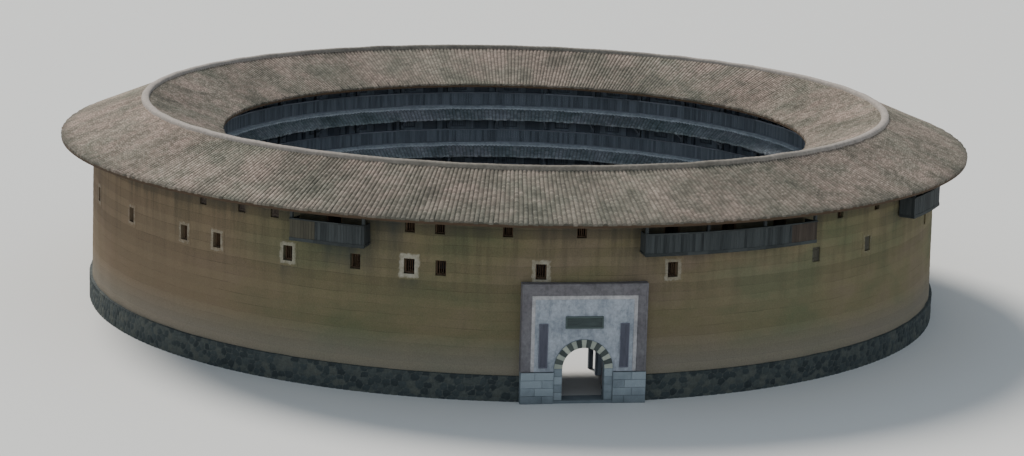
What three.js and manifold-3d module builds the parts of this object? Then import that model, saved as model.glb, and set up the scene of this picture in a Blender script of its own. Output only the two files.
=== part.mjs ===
// A round rammed-earth clan house of four storeys, drawn at half its real size in millimetres, +Z up.
// The origin is the centre of the courtyard at ground level, and the gate faces -Y.
// Angles are degrees round the house from the gate, growing towards +X.
import * as THREE from "three";
import { mergeVertices } from "three/addons/utils/BufferGeometryUtils.js";
import Module from "manifold-3d";

const wasm = await Module();
wasm.setup();

// Every length below is the real house's, in metres, and m() turns it into millimetres of the model.
const modelScale = 0.5;
const m = (metres) => metres * 1000 * modelScale;
const gap = 0.3; // between pieces that touch, in millimetres of the model
const reach = m(40); // longer than the house, for the blocks that cut it

// Rings round the whole house.
const wallFacets = 72;
const bays = 36;
const wallTurn = 180 / wallFacets;
const bayTurn = 180 / bays;
const cosOf = (degrees) => Math.cos(THREE.MathUtils.degToRad(degrees));
const bayTurnRadians = Math.PI / bays;
const sinOf = (degrees) => Math.sin(THREE.MathUtils.degToRad(degrees));

// Roof: two tiled slopes of one pitch that meet at a round ridge.
const ridgeRadius = m(22.0);
const ridgeHeight = m(11.7);
const outerEaveRadius = m(26.9);
const innerEaveRadius = m(17.4);
const pitch = 0.4;
const roofThickness = m(0.25);
const ridgeCapWidth = m(0.48);
const ridgeCapHeight = m(0.26);

// Earth wall, thinner towards the top, with an inside ledge under each upper floor.
const plinthHeight = m(1.35);
const plinthRadius = m(25.3);
const wallFoot = m(25.15);
const wallHead = m(25.0);
const wallBack = m(23.8);
const ledge = m(0.12);

// Upper floors.
const floorTops = [m(3.19), m(5.67), m(8.15)];
const floorThickness = m(0.2);

// Timber front towards the courtyard.
const postRadius = m(18.7);
const postSize = m(0.24);
const plateHeight = m(0.26);
const balustradeThickness = m(0.07);
const balustradeTop = m(1.0);
const roomFrontRadius = m(20.1);
const roomFrontThickness = m(0.12);
const pentRun = m(0.92);
const pentDrop = m(0.66);
const pentTop = m(0.02);
const pentThickness = m(0.12);

// Windows: angle of each, and the height of the middle of each row.
const windowAngles = {
  third: [-66, -53.5, -47.5, -36.5, -27.5, -20.8, -17, -5.2, 10.8, 31.8, 42, 62, 76,
    98, 112, 126, 140, 154, 168, 194, 208, 222, 236, 250, 264, 280],
  fourth: [-50, -43.5, -38.5, -20.8, -17.2, -9.2, -0.5, 36, 44, 76,
    98, 112, 126, 140, 194, 208, 222, 236, 250, 264, 280],
};
const windowHeights = { third: m(6.85), fourth: m(8.93) };
const windowSizes = { third: [m(0.56), m(0.8)], fourth: [m(0.52), m(0.62)] };

// Lookouts: boarded timber balconies under the outer eave, with a doorway behind each bay.
const lookouts = [
  { name: "lookout_front_left", from: -35, to: -25.6, doors: [-30.3] },
  { name: "lookout_front_right", from: 6.5, to: 29.5, doors: [10.5, 18, 25.5] },
  { name: "lookout_right", from: 50, to: 60, doors: [55] },
  { name: "lookout_back", from: 150, to: 172, doors: [154, 161, 168] },
];
const lookoutRadius = m(26.0);
const lookoutFoot = m(7.78);
const lookoutFloor = m(0.16);
const lookoutRail = m(8.95);
const lookoutBoard = m(0.07);
const lookoutPost = m(0.16);
const lookoutDoor = [m(0.9), m(1.6)];
const lookoutDoorFoot = floorTops[2];

// Gate.
const passageHalf = m(1.55);
const passageTop = m(3.42);
const lintelFoot = m(2.96);
const lintelFront = m(24.86);
const lintelBack = m(23.95);
const archRadius = m(1.1);
const archBand = m(0.44);
const archSpring = m(1.84);
const frameFront = m(25.44);
const frameMiddle = m(25.05);
const frameBack = m(24.88);
const sillHeight = m(0.15);
const sillFront = m(25.5);
const sillBack = m(24.5);
const dadoFront = m(25.52);
const dadoBack = m(25.0);
const dadoTop = m(1.66);
const surroundFront = m(25.37);
const surroundHalf = m(2.78);
const surroundTop = m(5.7);
const borderFront = m(25.43);
const borderWidth = m(0.5);
const borderTop = m(6.32);
const boardThickness = m(0.06);
const coupletWidth = m(0.42);
const coupletFoot = m(1.9);
const coupletTop = m(4.2);
const coupletOffset = m(2.12);
const tabletWidth = m(1.9);
const tabletFoot = m(4.0);
const tabletTop = m(4.56);
const pivotRadius = m(0.06);
const pivotClearance = 0.9;
const pivotOffset = m(1.4);
const pivotDepth = m(24.76);
const pinLength = m(0.05);
const leafFoot = m(0.18);
const leafTop = m(2.93);
const leafThickness = m(0.09);
const leafMeeting = m(0.012);

const colours = {
  earth: 0x9c7c4c,
  stone: 0x5f6263,
  ashlar: 0x8f9a9f,
  lime: 0xc2c6c4,
  border: 0x8d8790,
  tile: 0x7b7268,
  ridge: 0xb3a898,
  timber: 0x4a3a2c,
  boards: 0x3a3f42,
  leaf: 0x5a2a22,
  board: 0x343c42,
};
const material = Object.fromEntries(
  Object.entries(colours).map(([name, color]) => [
    name,
    new THREE.MeshStandardMaterial({ color, roughness: 0.9, metalness: 0 }),
  ]),
);

const house = new THREE.Group();

// A closed three.js geometry as a solid that can be cut and joined.
function solid(geometry) {
  const bare = geometry.clone();
  bare.deleteAttribute("normal");
  bare.deleteAttribute("uv");
  const merged = mergeVertices(bare, 1e-3);
  return new wasm.Manifold(
    new wasm.Mesh({
      numProp: 3,
      vertProperties: merged.attributes.position.array,
      triVerts: new Uint32Array(merged.index.array),
    }),
  );
}

// Adds a solid to the house as one named mesh.
function piece(name, made, finish) {
  const mesh = made.getMesh();
  const geometry = new THREE.BufferGeometry();
  geometry.setAttribute("position", new THREE.BufferAttribute(mesh.vertProperties, 3));
  geometry.setIndex(new THREE.BufferAttribute(mesh.triVerts, 1));
  geometry.computeVertexNormals();
  const shown = new THREE.Mesh(geometry, finish);
  shown.name = name;
  house.add(shown);
}

// A ring turned round the house's axis from a closed outline of [radius, height] corners.
function ring(outline, facets, turn) {
  const corners = [...outline, outline[0]].map(([r, z]) => new THREE.Vector2(r, z));
  const turned = new THREE.LatheGeometry(corners, facets, THREE.MathUtils.degToRad(turn));
  turned.rotateX(Math.PI / 2);
  return solid(turned);
}

// A box between two opposite corners.
function block([x0, y0, z0], [x1, y1, z1]) {
  const box = new THREE.BoxGeometry(x1 - x0, y1 - y0, z1 - z0);
  box.translate((x0 + x1) / 2, (y0 + y1) / 2, (z0 + z1) / 2);
  return solid(box);
}

// A box of a given width, depth and height that stands on the wall's line at an angle from the gate.
function blockAt(angle, radius, [width, depth, height], middle) {
  const box = new THREE.BoxGeometry(width, depth, height);
  box.translate(0, -radius, middle);
  box.rotateZ(THREE.MathUtils.degToRad(angle));
  return solid(box);
}

// A tall wedge of the house between two angles, less than half a turn apart.
function wedge(from, to) {
  const shape = new THREE.Shape([
    new THREE.Vector2(0, 0),
    new THREE.Vector2(reach * sinOf(from), -reach * cosOf(from)),
    new THREE.Vector2(reach * sinOf(to), -reach * cosOf(to)),
  ]);
  return solid(new THREE.ExtrudeGeometry(shape, { depth: m(20), bevelEnabled: false }));
}

// The part of a ring on one side of the house, and at one end of it unless end is 0.
function sector(whole, side, end) {
  const ascending = (a, b) => a - b;
  const x = [(side * gap) / 2, side * reach].sort(ascending);
  const y = end ? [(end * gap) / 2, end * reach].sort(ascending) : [-reach, reach];
  return whole.intersect(block([x[0], y[0], -m(1)], [x[1], y[1], m(20)]));
}

// A ring as a left half and a right half.
function halves(name, whole, finish) {
  piece(`${name}_left`, sector(whole, -1, 0), finish);
  piece(`${name}_right`, sector(whole, 1, 0), finish);
}

// A ring as four quarters.
function quarters(name, whole, finish) {
  halves(`${name}_front`, sector(whole, -1, -1).add(sector(whole, 1, -1)), finish);
  halves(`${name}_back`, sector(whole, -1, 1).add(sector(whole, 1, 1)), finish);
}

// The gate's passage, from the ground up, cut out of a ring.
function withoutPassage(whole) {
  const half = passageHalf + gap / 2;
  return whole.subtract(block([-half, -reach, -m(1)], [half, 0, m(20)]));
}

const roofTop = (radius) => ridgeHeight - pitch * Math.abs(radius - ridgeRadius);
const roofUnder = (radius) => roofTop(radius) - roofThickness - gap;

const wallTop = roofUnder(wallHead);
const wallFace = (height) =>
  wallFoot + ((wallHead - wallFoot) * (height - plinthHeight)) / (wallTop - plinthHeight);

function plinth() {
  const outline = [
    [wallBack, 0],
    [plinthRadius, 0],
    [plinthRadius, plinthHeight],
    [wallBack, plinthHeight],
  ];
  halves("stone_plinth", withoutPassage(ring(outline, wallFacets, wallTurn)), material.stone);
}

// The earth wall's section. Each ledge inside carries the edge of an upper floor.
function wallOutline() {
  const inside = [];
  floorTops.forEach((top, storey) => {
    const under = top - floorThickness - gap;
    inside.unshift([wallBack + ledge * (storey + 1), under], [wallBack + ledge * storey, under]);
  });
  const headBack = wallBack + ledge * floorTops.length;
  return [
    [wallBack, plinthHeight + gap],
    [wallFoot, plinthHeight + gap],
    [wallHead, wallTop],
    [headBack, roofUnder(headBack)],
    ...inside,
  ];
}

function earthWall() {
  let whole = ring(wallOutline(), wallFacets, wallTurn);
  const middle = (wallHead + wallBack) / 2;
  for (const row of ["third", "fourth"]) {
    const [width, height] = windowSizes[row];
    for (const angle of windowAngles[row]) {
      whole = whole.subtract(blockAt(angle, middle, [width, m(4), height], windowHeights[row]));
    }
  }
  const [doorWidth, doorHeight] = lookoutDoor;
  for (const { doors } of lookouts) {
    for (const angle of doors) {
      const door = [doorWidth, m(4), doorHeight];
      whole = whole.subtract(blockAt(angle, middle, door, lookoutDoorFoot + doorHeight / 2));
    }
  }
  quarters("earth_wall", withoutPassage(whole), material.earth);
  const overGate = block(
    [-passageHalf + gap / 2, -reach, passageTop],
    [passageHalf - gap / 2, 0, m(20)],
  );
  piece("wall_over_gate", whole.intersect(overGate), material.earth);
}

function roof() {
  const slope = (eave, side) => {
    const top = ridgeRadius + (side * gap) / 2;
    const outline = [
      [top, ridgeHeight - roofThickness],
      [eave, roofTop(eave) - roofThickness],
      [eave, roofTop(eave)],
      [top, ridgeHeight],
    ];
    return side > 0 ? outline : outline.reverse();
  };
  quarters("roof_outer", ring(slope(outerEaveRadius, 1), wallFacets, wallTurn), material.tile);
  halves("roof_inner", ring(slope(innerEaveRadius, -1), wallFacets, wallTurn), material.tile);
  const half = ridgeCapWidth / 2;
  const cap = [
    [ridgeRadius - half, roofTop(ridgeRadius - half) + gap],
    [ridgeRadius, ridgeHeight + gap],
    [ridgeRadius + half, roofTop(ridgeRadius + half) + gap],
    [ridgeRadius + half * 0.55, ridgeHeight + ridgeCapHeight],
    [ridgeRadius - half * 0.55, ridgeHeight + ridgeCapHeight],
  ];
  piece("ridge_cap", ring(cap, wallFacets, wallTurn), material.ridge);
}

// Upper floors, each a plain ring from its ledge in the wall to the backs of the gallery's posts.
function upperFloors() {
  const inner = postRadius + postSize / 2 + (postSize / 2) * Math.tan(bayTurnRadians) + gap;
  floorTops.forEach((top, storey) => {
    const outer = (wallBack + ledge * (storey + 1)) * cosOf(wallTurn) - gap;
    const slab = [
      [inner, top - floorThickness],
      [outer, top - floorThickness],
      [outer, top],
      [inner, top],
    ];
    piece(`upper_floor_${storey + 2}`, ring(slab, bays, bayTurn), material.timber);
  });
}

// Posts at the corners of every bay, joined by the plate that carries the inner eave.
function galleryPosts() {
  const front = postRadius - postSize / 2;
  const back = postRadius + postSize / 2;
  const foot = roofUnder(front) - plateHeight;
  const plate = [
    [front, foot],
    [back, foot],
    [back, roofUnder(back)],
    [front, roofUnder(front)],
  ];
  const posts = [ring(plate, wallFacets, wallTurn)];
  for (let bay = 0; bay < bays; bay++) {
    const height = foot + plateHeight / 2;
    const size = [postSize, postSize, height];
    posts.push(blockAt(bayTurn * (2 * bay + 1), postRadius, size, height / 2));
  }
  quarters("gallery_posts", wasm.Manifold.union(posts), material.timber);
}

// Boarded parapets in front of the posts, and the pent roofs that hang below them.
function galleryFronts() {
  const back = postRadius - postSize / 2 - gap;
  const front = back - balustradeThickness;
  const pentHead = front - gap;
  floorTops.forEach((top, storey) => {
    const boards = [
      [front, top - m(0.3)],
      [back, top - m(0.3)],
      [back, top + balustradeTop],
      [front, top + balustradeTop],
    ];
    piece(`balustrade_${storey + 2}`, ring(boards, bays, bayTurn), material.timber);
    const head = top + pentTop;
    const pent = [
      [pentHead - pentRun, head - pentDrop - pentThickness],
      [pentHead, head - pentThickness],
      [pentHead, head],
      [pentHead - pentRun, head - pentDrop],
    ];
    piece(`pent_roof_${storey + 2}`, ring(pent, bays, bayTurn), material.tile);
  });
}

// The boarded front of the rooms behind each gallery. At the gate it is open, as the entrance hall.
function roomFronts() {
  const feet = [0, ...floorTops];
  const inner = roomFrontRadius * cosOf(bayTurn);
  feet.forEach((foot, storey) => {
    const under = storey < floorTops.length ? floorTops[storey] - floorThickness : roofUnder(inner);
    const bottom = storey ? foot + gap : 0;
    const outline = [
      [roomFrontRadius, bottom],
      [roomFrontRadius + roomFrontThickness, bottom],
      [roomFrontRadius + roomFrontThickness, under - gap],
      [roomFrontRadius, under - gap],
    ];
    let front = ring(outline, bays, bayTurn);
    if (storey === 0) front = front.subtract(block([-m(1.5), -reach, -m(1)], [m(1.5), 0, m(2.7)]));
    piece(`room_front_${storey + 1}`, front, material.timber);
  });
}

// An arch-topped doorway shape of a given half width, standing on the sill and as deep as asked.
function archway(half, foot, front, back) {
  const shape = new THREE.Shape();
  shape.moveTo(-half, foot);
  shape.lineTo(half, foot);
  shape.lineTo(half, archSpring);
  shape.absarc(0, archSpring, half, 0, Math.PI, false);
  const cut = new THREE.ExtrudeGeometry(shape, {
    depth: front - back,
    bevelEnabled: false,
    curveSegments: 16,
  });
  cut.rotateX(Math.PI / 2);
  cut.translate(0, -back, 0);
  return solid(cut);
}

function gateStonework() {
  const outer = archRadius + archBand;
  const jambs = block(
    [-passageHalf + gap, -frameMiddle, sillHeight + gap],
    [passageHalf - gap, -frameBack, passageTop - gap],
  );
  const band = archway(outer, sillHeight + gap, frameFront, frameBack);
  const doorway = archway(archRadius, 0, m(30), m(20));
  piece("gate_frame", band.add(jambs).subtract(doorway), material.ashlar);

  const front = block([-outer, -sillFront, 0], [outer, -dadoBack - gap, sillHeight]);
  const back = block(
    [-passageHalf + gap, -dadoBack - m(0.1), 0],
    [passageHalf - gap, -sillBack, sillHeight],
  );
  const sill = front.add(back).subtract(pivotHole(-1, true)).subtract(pivotHole(1, true));
  piece("gate_threshold", sill, material.ashlar);

  const plinthFace = ring(
    [
      [m(20), -m(1)],
      [plinthRadius + gap, -m(1)],
      [plinthRadius + gap, plinthHeight + gap],
      [wallFoot + gap, plinthHeight + gap],
      [wallHead + gap, m(14)],
      [m(20), m(14)],
    ],
    wallFacets,
    wallTurn,
  );
  const half = surroundHalf + borderWidth;
  for (const side of [-1, 1]) {
    const x = [side * (outer + gap), side * half].sort((a, b) => a - b);
    const stones = block([x[0], -dadoFront, 0], [x[1], -dadoBack - m(0.1) - gap, dadoTop]);
    piece(`gate_dado_${side < 0 ? "left" : "right"}`, stones.subtract(plinthFace), material.ashlar);
  }

  const foot = dadoTop + gap;
  const plaster = block([-surroundHalf, -surroundFront, foot], [surroundHalf, -m(24.9), surroundTop]);
  const opening = archway(outer + gap, 0, m(30), m(20));
  piece("gate_surround", plaster.subtract(plinthFace).subtract(opening), material.lime);

  const border = block([-half, -borderFront, foot], [half, -m(24.7), borderTop]);
  const inside = block([-surroundHalf - gap, -m(30), 0], [surroundHalf + gap, 0, surroundTop + gap]);
  piece("gate_border", border.subtract(plinthFace).subtract(inside), material.border);
}

function gateBoards() {
  const back = -surroundFront - gap;
  const front = back - boardThickness;
  for (const side of [-1, 1]) {
    const middle = side * coupletOffset;
    const board = block(
      [middle - coupletWidth / 2, front, coupletFoot],
      [middle + coupletWidth / 2, back, coupletTop],
    );
    piece(`couplet_board_${side < 0 ? "left" : "right"}`, board, material.board);
  }
  const tablet = block([-tabletWidth / 2, front, tabletFoot], [tabletWidth / 2, back, tabletTop]);
  piece("name_tablet", tablet, material.board);
}

// A round upright on the line of a gate leaf's pivot.
function pivotRod(side, radius, foot, top) {
  const rod = new THREE.CylinderGeometry(radius, radius, top - foot, 24);
  rod.rotateX(Math.PI / 2);
  rod.translate(side * pivotOffset, -pivotDepth, (foot + top) / 2);
  return solid(rod);
}

// The socket that a leaf's pin turns in, in the sill or in the lintel.
function pivotHole(side, inSill) {
  const radius = pivotRadius + pivotClearance;
  return inSill
    ? pivotRod(side, radius, sillHeight - pinLength - gap, sillHeight + m(1))
    : pivotRod(side, radius, lintelFoot - m(1), lintelFoot + pinLength + gap);
}

function gateLintel() {
  const beam = block(
    [-passageHalf + gap, -lintelFront, lintelFoot],
    [passageHalf - gap, -lintelBack, passageTop - gap],
  );
  const bored = beam.subtract(pivotHole(-1, false)).subtract(pivotHole(1, false));
  piece("gate_lintel", bored, material.timber);
}

// The two leaves, which stand open against the sides of the passage.
function gateLeaves() {
  for (const side of [-1, 1]) {
    const pin = pivotRod(side, pivotRadius, sillHeight - pinLength, lintelFoot + pinLength);
    const x = [side * pivotOffset - leafThickness / 2, side * pivotOffset + leafThickness / 2];
    const panel = block(
      [x[0], -pivotDepth, leafFoot],
      [x[1], -pivotDepth + pivotOffset - leafMeeting, leafTop],
    );
    piece(`gate_leaf_${side < 0 ? "left" : "right"}`, pin.add(panel), material.leaf);
  }
}

// A lookout: floor and boarded parapet in one, with posts up to the roof's underside.
function lookoutBalconies() {
  const face = lookoutRadius - lookoutBoard;
  const skin = wallFace(lookoutFoot) + gap;
  const outline = [
    [skin, lookoutFoot],
    [lookoutRadius, lookoutFoot],
    [lookoutRadius, lookoutRail],
    [face, lookoutRail],
    [face, lookoutFoot + lookoutFloor],
    [wallFace(lookoutFoot + lookoutFloor) + gap, lookoutFoot + lookoutFloor],
  ];
  const whole = ring(outline, wallFacets, wallTurn);
  const endBoard = m(0.08);
  const reachOut = lookoutRadius * cosOf(wallTurn) - skin - m(0.02);
  for (const { name, from, to, doors } of lookouts) {
    const parts = [whole.intersect(wedge(from, to))];
    const postAngles = [];
    for (let i = 0; i <= doors.length; i++) {
      postAngles.push(from + ((to - from) * i) / doors.length);
    }
    const inset = THREE.MathUtils.radToDeg(lookoutPost / 2 / lookoutRadius);
    postAngles[0] += inset;
    postAngles[doors.length] -= inset;
    const postMiddle = lookoutRadius * cosOf(wallTurn) - lookoutPost / 2 - m(0.02);
    const head = roofUnder(postMiddle + lookoutPost / 2 / cosOf(wallTurn)) - m(0.01);
    for (const angle of postAngles) {
      const size = [lookoutPost, lookoutPost, head - lookoutFoot - m(0.02)];
      parts.push(blockAt(angle, postMiddle, size, (head + lookoutFoot + m(0.02)) / 2));
    }
    for (const [angle, side] of [[from, 1], [to, -1]]) {
      const turned = angle + side * THREE.MathUtils.radToDeg(endBoard / 2 / lookoutRadius) * 1.2;
      const size = [endBoard, reachOut, lookoutRail - lookoutFoot - m(0.02)];
      const middle = skin + reachOut / 2;
      parts.push(blockAt(turned, middle, size, (lookoutRail + lookoutFoot + m(0.02)) / 2));
    }
    piece(name, wasm.Manifold.union(parts), material.boards);
  }
}

plinth();
earthWall();
roof();
upperFloors();
galleryPosts();
galleryFronts();
roomFronts();
gateStonework();
gateBoards();
gateLintel();
gateLeaves();
lookoutBalconies();

export default house;
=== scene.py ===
import math
from functools import partial

import bpy
import numpy as np
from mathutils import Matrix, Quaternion, Vector


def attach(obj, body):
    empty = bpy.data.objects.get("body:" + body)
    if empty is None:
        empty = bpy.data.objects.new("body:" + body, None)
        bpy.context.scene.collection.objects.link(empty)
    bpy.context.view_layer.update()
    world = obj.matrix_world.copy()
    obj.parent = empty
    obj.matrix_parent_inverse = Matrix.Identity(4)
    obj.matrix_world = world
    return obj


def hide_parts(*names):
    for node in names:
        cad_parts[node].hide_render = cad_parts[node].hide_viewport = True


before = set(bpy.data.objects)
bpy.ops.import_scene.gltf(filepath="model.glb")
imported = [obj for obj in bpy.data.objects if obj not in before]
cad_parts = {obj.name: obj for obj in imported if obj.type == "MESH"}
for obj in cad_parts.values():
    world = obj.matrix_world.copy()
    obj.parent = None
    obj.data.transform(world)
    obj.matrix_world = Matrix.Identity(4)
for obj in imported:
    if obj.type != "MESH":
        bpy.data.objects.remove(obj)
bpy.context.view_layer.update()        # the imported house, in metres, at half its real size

print("frame loaded:", len(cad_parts), "nodes")

# Shapes are worked out in the real house's metres and halved when they become meshes.
# Angles are degrees round the house from the gate, growing towards +X.
modelScale = 0.5
dice = np.random.default_rng(41)

house = {
    "ridgeRadius": 22.0, "ridgeHeight": 11.7, "outerEave": 26.9, "innerEave": 17.4,
    "pitch": 0.4, "roofThickness": 0.25, "underTiles": 0.105,
    "plinthTop": 1.35, "plinthRadius": 25.3, "wallFoot": 25.15, "wallHead": 25.0, "wallBack": 23.8,
    "windowRadius": 25.05, "ledge": 0.12, "floorTops": (3.19, 5.67, 8.15), "floorThickness": 0.2,
    "passageHalf": 1.55, "passageTop": 3.42, "postRadius": 18.7, "postSize": 0.24, "bays": 36,
}
windowAngles = {
    "third": (-66, -53.5, -47.5, -36.5, -27.5, -20.8, -17, -5.2, 10.8, 31.8, 42, 62, 76,
              98, 112, 126, 140, 154, 168, 194, 208, 222, 236, 250, 264, 280),
    "fourth": (-50, -43.5, -38.5, -20.8, -17.2, -9.2, -0.5, 36, 44, 76,
               98, 112, 126, 140, 194, 208, 222, 236, 250, 264, 280),
}
windowRows = {"third": (6.85, 0.56, 0.8), "fourth": (8.93, 0.52, 0.62)}      # middle, width, height
lookouts = {        # angle from and to, and the doorways' angles
    "lookout_front_left": (-35, -25.6, (-30.3,)),
    "lookout_front_right": (6.5, 29.5, (10.5, 18, 25.5)),
    "lookout_right": (50, 60, (55,)),
    "lookout_back": (150, 172, (154, 161, 168)),
}
lookoutDoor = (0.9, 1.6)        # width, height
doorways = [angle for _, _, doors in lookouts.values() for angle in doors]
topFloor = house["floorTops"][-1]
halfBay = 180 / house["bays"]        # degrees


# Colours and nodes

def linear(hexColour):        # an sRGB hex colour as linear red, green, blue and alpha
    parts = [int(hexColour[i:i + 2], 16) / 255 for i in (1, 3, 5)]
    return [c / 12.92 if c <= 0.04045 else ((c + 0.055) / 1.055) ** 2.4 for c in parts] + [1.0]


# Adds one node. Inputs are given in the order they show, or by name: each is a number, a hex colour, a
# socket, or a node whose first output is meant.
def addNode(tree, kind, inputs=(), stops=(), **settings):
    node = tree.nodes.new("ShaderNode" + kind)
    for key, value in settings.items():
        setattr(node, key, value)
    if isinstance(inputs, dict):
        inputs = [(node.inputs[key], value) for key, value in inputs.items()]
    else:
        inputs = zip([socket for socket in node.inputs if socket.enabled], inputs)
    for socket, value in inputs:
        if isinstance(value, bpy.types.Node):
            value = next(output for output in value.outputs if output.enabled)
        if isinstance(value, bpy.types.NodeSocket):
            tree.links.new(value, socket)
        else:
            socket.default_value = linear(value) if isinstance(value, str) else value
    if stops:
        elements = node.color_ramp.elements
        while len(elements) < len(stops):
            elements.new(1.0)
        for element, (position, hexColour) in zip(elements, stops):
            element.position = position
            element.color = linear(hexColour)
    return node


def startMaterial(name):        # the material, what adds a node to it, and its real-metre coordinates
    material = bpy.data.materials.new(name)
    material.use_nodes = True
    material.node_tree.nodes.clear()
    add = partial(addNode, material.node_tree)
    place = add("TexCoord").outputs["Object"]
    return material, add, add("VectorMath", {0: place, "Scale": 1 / modelScale}, operation="SCALE")


# Each bump is a height, its strength and its real depth in metres, and lies over the bumps before it.
def finishMaterial(material, add, colour, bumps, roughness, specular, metallic=0.0):
    relief = {}
    for height, strength, depth in bumps:
        bump = {"Height": height, "Strength": strength, "Distance": depth, **relief}
        relief = {"Normal": add("Bump", bump)}
    add("OutputMaterial", [add("BsdfPrincipled", {
        "Base Color": colour, "Roughness": roughness, "Specular IOR Level": specular, "Metallic": metallic,
        **relief})])
    return material


over = {"data_type": "RGBA"}        # how a Mix node lays a colour over another, or shades it
shade = {"data_type": "RGBA", "blend_type": "MULTIPLY"}


# Rammed earth: clay soil tamped in layers between boards. Dull, sandy, with level lift lines, a painted
# shadow under the eaves, and washed in upright streaks. Round windows it was limewashed, which
# has worn off: there the mesh says how much is left.
def rammedEarth(name="rammed_earth", washed=False):
    look = {"ochre": "#716950", "olive": "#62634a", "orange": "#766a57", "red": "#7b6956",
            "pale": "#857f73", "streak": "#434036", "eaveShadow": "#4a4841", "stain": "#3a4141",
            "wash": "#aba697", "lift": 0.48}
    material, add, real = startMaterial(name)
    place = add("SeparateXYZ", [real])
    high = place.outputs[2]
    wide = add("VectorMath", [real, (1.0, 1.0, 1.9)], operation="MULTIPLY")
    broad = add("TexNoise", [wide, 0.13, 4.0, 0.6])
    soil = add("ValToRGB", [broad], ((0.36, look["olive"]), (0.5, look["ochre"]), (0.64, look["orange"])))
    # redder towards -X, paler towards +X, and drier in a patch about 6 m wide below the right lookout
    soil = add("Mix", [add("MapRange", [place, -13.0, -21.0, 0.0, 0.8]), soil, look["red"]], **over)
    soil = add("Mix", [1.0, soil, add("MapRange", [place, 3.0, 12.0, 1.0, 1.18])], **shade)
    away = add("VectorMath", [wide, (9.0, -23.5, 12.9)], operation="DISTANCE")
    dry = add("MapRange", [away, 6.5, 1.0, 0.0, 1.0])
    soil = add("Mix", [dry, soil, (1.21, 1.13, 1.22, 1.0)], **shade)
    # lifts, 0.48 m high: each has its own tone, and a thin dark joint over it
    drift = add("TexNoise", [real, 0.35, 2.0])
    level = add("Math", [drift, 0.16, high], operation="MULTIPLY_ADD")
    lift = add("Math", [level, look["lift"]], operation="DIVIDE")
    within = add("Math", [lift], operation="FRACT")
    count = add("Math", [lift], operation="FLOOR")
    own = add("TexWhiteNoise", [count], noise_dimensions="1D")
    soil = add("Mix", [0.8, soil, add("MapRange", [own, 0.0, 1.0, 0.83, 1.13])], **shade)
    joint = add("ValToRGB", [within], (
        (0.0, "#000000"), (0.05, "#ffffff"), (0.95, "#ffffff"), (1.0, "#000000")))
    flat = add("VectorMath", [real, (0.5, 0.5, 4.0)], operation="MULTIPLY")
    broken = add("TexNoise", [flat, 0.8, 4.0])
    jointShade = add("MapRange", [broken, 0.42, 0.65, 0.0, 0.35])
    soil = add("Mix", [jointShade, soil, joint], **shade)
    # upright rain streaks, strongest under the eave
    upright = add("VectorMath", [real, (1.0, 1.0, 0.09)], operation="MULTIPLY")
    streaks = add("TexNoise", [upright, 1.7, 5.0, 0.62])
    under = add("MapRange", [high, 4.5, 10.0, 0.06, 0.62])
    sharp = add("MapRange", [streaks, 0.44, 0.66, 0.0, 1.0])
    amount = add("Math", [under, sharp], operation="MULTIPLY")
    soil = add("Mix", [amount, soil, look["streak"]], **over)
    # a paler washed band over the plinth, and grit of about 30 mm, as coarse as it shows
    soil = add("Mix", [add("MapRange", [level, 3.5, 2.0, 0.0, 0.62]), soil, look["pale"]], **over)
    grit = add("TexNoise", [real, 16.0, 6.0, 0.7])
    soil = add("Mix", [0.8, soil, add("MapRange", [grit, 0.3, 0.7, 0.78, 1.2])], **shade)
    pebbles = add("TexVoronoi", [real, 11.0])
    jagged = add("Math", [grit, 0.3, pebbles], operation="MULTIPLY_ADD")
    pebble = add("MapRange", [jagged, 0.38, 0.3, 0.0, 0.3])
    pebbleTone = add("Mix", [pebbles.outputs["Color"], "#45423b", "#8c8679"], **over)
    soil = add("Mix", [pebble, soil, pebbleTone], **over)
    # painted shadow under the eave, with an uneven lower edge
    edge = add("Math", [streaks, 1.1, high], operation="MULTIPLY_ADD")
    soil = add("Mix", [add("MapRange", [edge, 8.9, 9.75, 0.0, 0.7]), soil, look["eaveShadow"]], **over)
    # grey damp staining below some windows, and a painted grey shadow below the lookouts: the mesh says where
    stain = add("Attribute", attribute_name="stain").outputs["Fac"]
    uneven = add("MapRange", [streaks, 0.3, 0.7, 0.45, 1.3])
    stained = add("Math", [stain, uneven], operation="MULTIPLY", use_clamp=True)
    soil = add("Mix", [stained, soil, look["stain"]], **over)
    if washed:
        left = add("Attribute", attribute_name="tone").outputs["Fac"]
        flakes = add("TexNoise", [real, 4.0, 7.0, 0.72])
        worn = add("Math", [flakes, -0.5], operation="ADD")
        kept = add("Math", [worn, 1.8, left], operation="MULTIPLY_ADD", use_clamp=True)
        soil = add("Mix", [kept, soil, look["wash"]], **over)
    return finishMaterial(material, add, soil, [(grit, 0.5, 0.012), (joint, 0.35, 0.008)], 0.95, 0.15)


# River boulders set in grey lime mortar. Each stone's tone and its joint come from the mesh.
def riverStone():
    look = {"dark": "#303637", "middle": "#3f4646", "light": "#535650", "mortar": "#505450"}
    material, add, real = startMaterial("river_boulders_in_mortar")
    tone = add("Attribute", attribute_name="tone").outputs["Fac"]
    stone = add("ValToRGB", [tone], ((0.0, look["dark"]), (0.55, look["middle"]), (1.0, look["light"])))
    edge = add("Attribute", attribute_name="joint").outputs["Fac"]
    fine = add("TexNoise", [real, 9.0, 6.0, 0.65])
    edged = add("Math", [fine, -0.2, edge], operation="MULTIPLY_ADD")
    stone = add("Mix", [add("MapRange", [edged, -0.04, 0.05, 0.9, 0.0]), stone, look["mortar"]], **over)
    stone = add("Mix", [0.8, stone, add("MapRange", [fine, 0.3, 0.7, 0.7, 1.25])], **shade)
    return finishMaterial(material, add, stone, [(fine, 0.5, 0.01)], 0.88, 0.3)


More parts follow.
